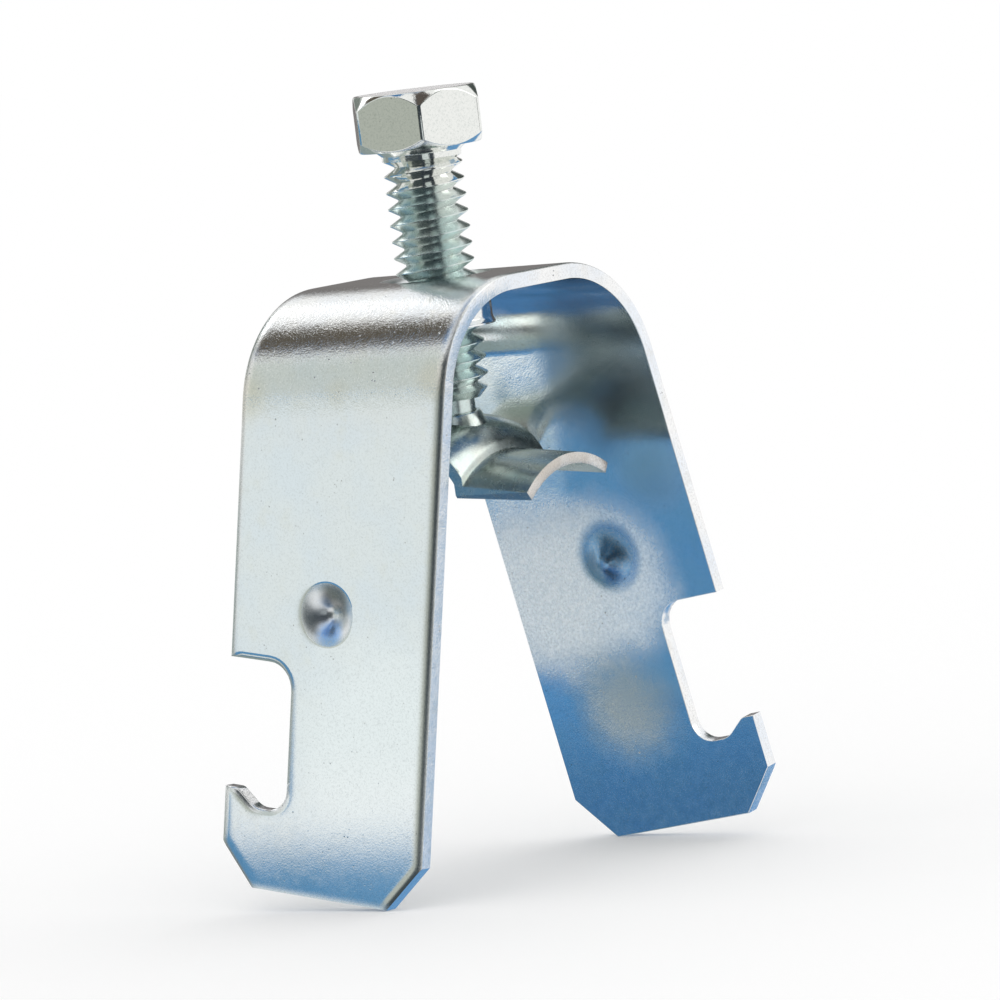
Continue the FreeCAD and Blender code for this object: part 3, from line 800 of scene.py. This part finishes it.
stake = ((-0.1, 0.04), (0, -0.08), (0, -STAKE_THICKNESS / 2),   # its rim: outwards and upwards
         (-STAKE_THICKNESS / 4, -STAKE_THICKNESS * 0.85), (-STAKE_THICKNESS / 2, -STAKE_THICKNESS))
neck = [(0, neck_top), (NECK_RADIUS, neck_top), (NECK_RADIUS, -STAKE_NECK_LEVEL)]
neck += [(STAKE_RADIUS + out, -STAKE_RIM_LEVEL + rise) for out, rise in stake]
neck += [(0, -STAKE_RIM_LEVEL - STAKE_THICKNESS)]
combine(bolt, turned("neck", neck, level=web_top), "UNION")

# %% Forge the head
corner_radius = HEAD_FLATS / 2 / math.cos(math.radians(30))
bpy.ops.object.select_all(action="DESELECT")
bpy.ops.mesh.primitive_cylinder_add(
    vertices=6, radius=corner_radius * MM, depth=HEAD_HEIGHT * MM,
    location=(0, 0, web_top + (HEAD_GAP + HEAD_HEIGHT / 2) * MM),
    rotation=(0, 0, math.radians(HEAD_TURN - 90)))
head = bpy.context.object
settle(head)
edit(head)
pick(head, "EDGE", lambda a, b: abs(a.z - b.z) > HEAD_HEIGHT / 2 * MM)
bpy.ops.mesh.bevel(offset=HEAD_CORNER * MM, segments=4, affect="EDGES")
leave()
inside = HEAD_FLATS / 2 - HEAD_FACE_INSET
outside = 2 * corner_radius - inside
outline = [(0, 0), (inside, 0), (outside, 2 * HEAD_BASE_DROP), (outside, HEAD_HEIGHT - 2 * HEAD_TOP_DROP),
           (inside, HEAD_HEIGHT), (0, HEAD_HEIGHT)]
combine(head, turned("chamfers", outline, level=web_top + HEAD_GAP * MM, steps=120), "INTERSECT")
soften(head, HEAD_SOFTNESS, 20)
combine(bolt, head, "UNION")
bolt.data.materials.clear()
bolt.data.materials.append(bolt_face)
smooth(bolt, 38)
finished(bolt, "screw", "bolt")

# %% [markdown]
# ## Saddle
# The saddle is pressed from thin sheet: two tongues lie along the pipe and a round dome rises between.
# Its lengthwise section is swung about the pipe's axis, so that it fits the pipe everywhere.
# Two upright cuts then trim the sides of the dome.
# It hangs loose on the screw's staked end, and lies tipped by a few degrees as in the photograph.

# %% Sizes of the saddle
TUBE_RADIUS = 8.965
SADDLE_SHEET = 0.86
SADDLE_EASE = 0.05                 # how much wider than the tube its curve is
SADDLE_HALF_WIDTH = 5.73
SIDE_MARGIN = 0.02                 # how far inside the upright cuts the tongues' edges stay
TONGUE_REACH = 9.83
TONGUE_DROOP = 6.0
DOME_REACH = 3.95
DOME_TOP = 11.02                   # below the web
DOME_RISE = 2.33                   # over the dome's own lip
LIP_STEP = 0.55                    # from the lip down to the tongue
HOLLOW_SHARE = 0.87                # reach of the dome's hollow, as a share of its radius
HOLE_RADIUS = 1.89
HOLE_RIM = (0.35, 0.3)             # width and height of the hole's turned-up rim
HOLE_TOOL = 3                      # half the length of the tool that pierces it
SADDLE_TIP = -3.1
SADDLE_SOFTNESS = 0.1
END_MARGIN = 0.3                   # the cut ends start this close to the tongues' reach
FACES_END = 0.9                    # and their normals point along the pipe by at least this

# %% Press the saddle
seat = TUBE_RADIUS + SADDLE_EASE
dome_radius = (DOME_REACH ** 2 + DOME_RISE ** 2) / (2 * DOME_RISE)
dome_turn = math.degrees(math.asin(DOME_REACH / dome_radius))
hollow_radius = dome_radius - SADDLE_SHEET
hollow_reach = HOLLOW_SHARE * hollow_radius
hollow_turn = math.degrees(math.asin(HOLLOW_SHARE))
tongue = -DOME_TOP - DOME_RISE - LIP_STEP
fall = (TONGUE_REACH - DOME_REACH) * math.tan(math.radians(TONGUE_DROOP))
swing_level = tongue - fall - SADDLE_SHEET - seat
dome_centre = (0, -DOME_TOP - dome_radius)
section = arc(dome_centre, dome_radius, 90 + dome_turn, 90 - dome_turn, 28)
section += [(DOME_REACH, tongue), (TONGUE_REACH, tongue - fall), (TONGUE_REACH, tongue - fall - SADDLE_SHEET),
            (hollow_reach, tongue - SADDLE_SHEET)]
section += arc(dome_centre, hollow_radius, 90 - hollow_turn, 90 + hollow_turn, 28)
section += [(-hollow_reach, tongue - SADDLE_SHEET), (-TONGUE_REACH, tongue - fall - SADDLE_SHEET),
            (-TONGUE_REACH, tongue - fall), (-DOME_REACH, tongue), section[0]]

swing = math.asin((SADDLE_HALF_WIDTH - SIDE_MARGIN) / (seat + SADDLE_SHEET))
axis_point = Vector((0, 0, swing_level))
turn_back = Matrix.Rotation(-swing, 3, "Y")
lift = Vector((0, 0, web_top))
points = [(turn_back @ (Vector((0, y, z)) - axis_point) + axis_point) * MM + lift for y, z in section]
saddle = drawn("pressed_saddle", points)
edit(saddle)
weld()
bpy.ops.mesh.select_all(action="SELECT")
bpy.ops.mesh.spin(steps=40, angle=2 * swing, center=axis_point * MM + lift, axis=(0, -1, 0))
leave()
settle(saddle)
edit(saddle)
weld()
bpy.ops.mesh.select_all(action="DESELECT")
bpy.ops.mesh.select_non_manifold()
bpy.ops.mesh.fill_holes(sides=0)
for side in (-1, 1):
    cut((side * SADDLE_HALF_WIDTH * MM, 0, 0), (side, 0, 0), clear=True, fill=True)
face_out()
leave()
size = [round(side / MM, 2) for side in saddle.dimensions]
print("swung section has", len(saddle.data.polygons), "faces,", size)

# %% Pierce the dome, tip the saddle
rim_width, rim_height = HOLE_RIM
rim_foot = -DOME_TOP - 0.9 * SADDLE_SHEET
rim_top = -DOME_TOP + rim_height
rim = [(0, rim_foot), (HOLE_RADIUS + 2 * rim_width, rim_foot),
       (HOLE_RADIUS + rim_width, -DOME_TOP + 0.6 * rim_height),
       (HOLE_RADIUS + 0.7 * rim_width, rim_top), (0, rim_top)]
combine(saddle, turned("rim", rim, level=web_top, steps=64), "UNION")
hole = [(0, -DOME_TOP + HOLE_TOOL), (HOLE_RADIUS, -DOME_TOP + HOLE_TOOL),
        (HOLE_RADIUS, -DOME_TOP - HOLE_TOOL), (0, -DOME_TOP - HOLE_TOOL)]
combine(saddle, turned("hole", hole, level=web_top, steps=64), "DIFFERENCE")
soften(saddle, SADDLE_SOFTNESS, 35)
pivot = Matrix.Translation((0, 0, web_top - (DOME_TOP + SADDLE_SHEET / 2) * MM))
saddle.matrix_world = pivot @ Matrix.Rotation(math.radians(SADDLE_TIP), 4, "Y") @ pivot.inverted()
settle(saddle)
saddle.data.materials.clear()
saddle.data.materials.append(saddle_face)
saddle.data.materials.append(saddle_end)
for face in saddle.data.polygons:
    if abs(face.normal.y) > FACES_END and abs(face.center.y) > (TONGUE_REACH - END_MARGIN) * MM:
        face.material_index = 1
smooth(saddle, 35)
finished(saddle, "saddle", "saddle")

# %% [markdown]
# ## Floor and light
# The clamp stands on a plain pale floor under an even white sky.
# Bright metal shows what stands round it, so its reflections see a studio of their own.
# That studio has a blue floor, white walls and panels, whose edges draw the bands on the metal.
# A panel is a stretch of compass directions and heights, and a later one hides an earlier one.

# %% Floor
FLOOR_SIZE = 4                     # metres
PAPER_ROUGHNESS = 0.9

bpy.ops.object.select_all(action="DESELECT")
bpy.ops.mesh.primitive_plane_add(size=FLOOR_SIZE, location=(0, 0, floor_level))
floor = bpy.context.object
floor.name = "floor"
settle(floor)
paper = bpy.data.materials.new("pale_floor")
paper.use_nodes = True
sheet = paper.node_tree.nodes["Principled BSDF"]
sheet.inputs["Base Color"].default_value = (1, 1, 1, 1)
sheet.inputs["Roughness"].default_value = PAPER_ROUGHNESS
sheet.inputs["Specular IOR Level"].default_value = 0.0
floor.data.materials.append(paper)
floor.visible_glossy = False
floor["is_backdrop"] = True

# %% Panels of the studio
WHITE = (1, 1, 1)
BLUE_FLOOR = (0.07, 0.19, 0.38)
FLOOR_EDGE = (-49.4, -45.2)        # heights between which the blue floor turns into the white wall
PANELS = [
    # compass from, to, height from, to and blur, all in degrees, and colour
    # dark ground close to the clamp
    (40, 181, -95, -58, 2.0, (0.10, 0.095, 0.09)),
    # lamps for the saddle's edge, and for the white band on the bend
    (-75, -42, 14, 62, 3.0, (2.1, 2.1, 2.05)),
    (60, 96, 33, 46, 2.0, (2.6, 2.6, 2.6)),
    # blue for the notch's edges, and the blue floor mirrored from leg to leg
    (-42, -8, -26, -12.5, 2.0, (0.38, 0.51, 0.66)),
    (-20, 40, -50, -26, 2.0, (0.15, 0.34, 0.60)),
    # grey-green walls low down, and the blue that is seen in a second mirroring
    (50, 134, -46, -9, 4.0, (0.30, 0.36, 0.35)),
    (35, 60, -46, -9, 4.0, (0.27, 0.33, 0.34)),
    (26, 50, -38, -12, 3.0, (0.11, 0.29, 0.52)),
    # the left leg's face: grey-green and pale walls, and blue for its foot
    (66, 122, -9, -0.5, 0.5, (0.40, 0.46, 0.44)),
    (112, 152, -0.5, 4.3, 1.0, (0.79, 0.855, 0.865)),
    (125, 152, 4.3, 36, 1.0, (0.58, 0.63, 0.60)),
    (100, 150, -8, -0.50, 0.2, (0.12, 0.29, 0.49)),
    # the inside of the right leg: blue, with grey-green and a bright line in it
    (134, 152, -22, -7.5, 0.3, (0.10, 0.29, 0.55)),
    (134, 146, -14.1, -8, 0.2, (0.42, 0.52, 0.50)),
    (134, 147, -13.42, -10.0, 0.12, (0.96, 1.0, 1.0)),
    # darker rows below them
    (100, 152, -19.3, -17.0, 0.4, (0.05, 0.15, 0.31)),
    (120, 152, -32, -19.5, 0.4, (0.24, 0.31, 0.31)),
    (120, 152, -44, -39, 1.5, (0.10, 0.12, 0.12)),
    # dark uprights for the screw, the saddle's dome, the web and the head
    (86, 101, -24, 20, 3.0, (0.27, 0.30, 0.29)),
    (50, 84, 8, 30, 3.0, (0.22, 0.25, 0.23)),
    (0, 27, 8, 45, 3.0, (0.07, 0.085, 0.08)),
    (27, 46, -6, 32, 2.5, (0.21, 0.20, 0.195)),
    # blue overhead
    (-190, 190, 80, 95, 2.0, (0.08, 0.21, 0.42)),
    # blue and dark brown rows for the bend
    (134, 166, 42, 76, 3.0, (0.08, 0.21, 0.42)),
    (106, 119, 31, 38, 1.5, (0.09, 0.20, 0.42)),
    (94, 133, 37, 57, 1.4, (0.115, 0.102, 0.083)),
    # the head's left side
    (148, 168, -11, 8, 1.5, (0.47, 0.50, 0.45)),
    # dark flag for the dark stripe down the screw
    (166, 190, -14, 36, 2.5, (0.075, 0.092, 0.098)),
    (-190, -110, -16, 36, 4.0, (0.058, 0.072, 0.078)),
    (-155, -109, -45, 72, 3.0, (0.045, 0.055, 0.068)),
    # pale window in that flag, for faces seen from behind
    (-143, -123, -30, -1, 2.0, (0.66, 0.71, 0.72)),
    # the head's top edges
    (-109, -76, 30, 48, 3.0, (0.10, 0.13, 0.12)),
    (-150, -93, 58, 79, 2.0, (0.11, 0.095, 0.085)),
]


# %% Studio that the metal reflects
def studio(tree):
    """What a reflected ray sees, by its compass direction and its height."""
    ray = shader_node(tree, "ShaderNodeTexCoord").outputs["Generated"]
    part = shader_node(tree, "ShaderNodeSeparateXYZ", {"Vector": ray}).outputs
    compass = math_node(tree, "ARCTAN2", part["Y"], part["X"])
    height = math_node(tree, "ARCSINE", part["Z"])

    def band(value, low, high, blur):
        """One inside a stretch of angles and zero outside it, with blurred ends."""
        low, high, blur = (math.radians(number) for number in (low, high, blur))
        rise = remap(tree, value, low - blur, low + blur)
        drop = remap(tree, value, high - blur, high + blur, 1.0, 0.0)
        return math_node(tree, "MULTIPLY", rise, drop)

    sky = tinted(tree, remap(tree, height, *map(math.radians, FLOOR_EDGE)), BLUE_FLOOR, WHITE)
    for east, west, low, high, blur, colour in PANELS:
        amount = math_node(tree, "MULTIPLY", band(compass, east, west, blur), band(height, low, high, blur))
        sky = tinted(tree, amount, sky, colour)
    return sky


world = bpy.data.worlds.new("studio")
bpy.context.scene.world = world
world.use_nodes = True
world.cycles.sampling_method = "NONE"
tree = world.node_tree
path = shader_node(tree, "ShaderNodeLightPath").outputs
seen = tinted(tree, path["Is Glossy Ray"], WHITE, studio(tree))
tree.links.new(seen, tree.nodes["Background"].inputs["Color"])
bpy.context.scene.view_settings.view_transform = "Standard"
print("studio of", len(PANELS), "panels,", len(tree.nodes), "nodes")

# %% Sizes for comparison
scene_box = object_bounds()
sizes = {"cad": [list(corner) for corner in cad_box], "scene": [list(corner) for corner in scene_box]}
for name, box in sizes.items():
    print(name, [[round(value / MM, 2) for value in corner] for corner in box])
